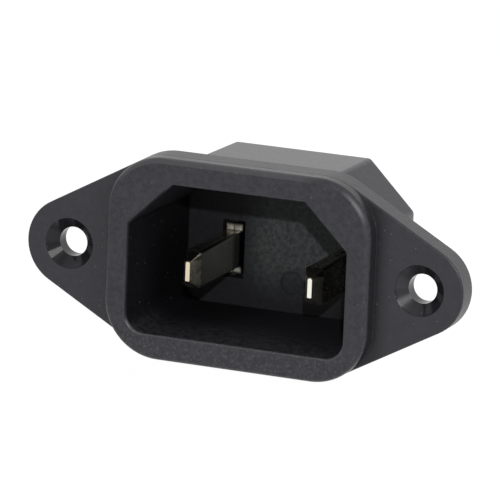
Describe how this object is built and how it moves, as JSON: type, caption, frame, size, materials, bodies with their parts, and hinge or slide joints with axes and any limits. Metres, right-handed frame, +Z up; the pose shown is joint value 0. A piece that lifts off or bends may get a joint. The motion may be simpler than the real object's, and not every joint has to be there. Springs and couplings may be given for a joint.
{
  "type": "two-pin panel inlet socket",
  "caption": "Panel mains inlet: a moulded socket with chamfered mouth, screw flange with countersunk holes, flat blades inside and quick-connect tabs behind.",
  "frame": {"origin": "midway between the two screw holes, on the flange's back face, which seats on the panel", "axes": "+X to the right seen from the front, +Z up, the mouth faces -Y and the tabs point along +Y"},
  "size_m": [0.0498, 0.0264, 0.022],
  "materials": {
    "housing_plastic": "matte charcoal-black moulded thermoplastic, fine even grain",
    "contact_plating": "nickel-plated brass sheet, drawn lengthwise, softly polished"
  },
  "bodies": {
    "root": {"housing": "housing_plastic", "line_contact": "contact_plating", "neutral_contact": "contact_plating"}
  },
  "joints": []
}
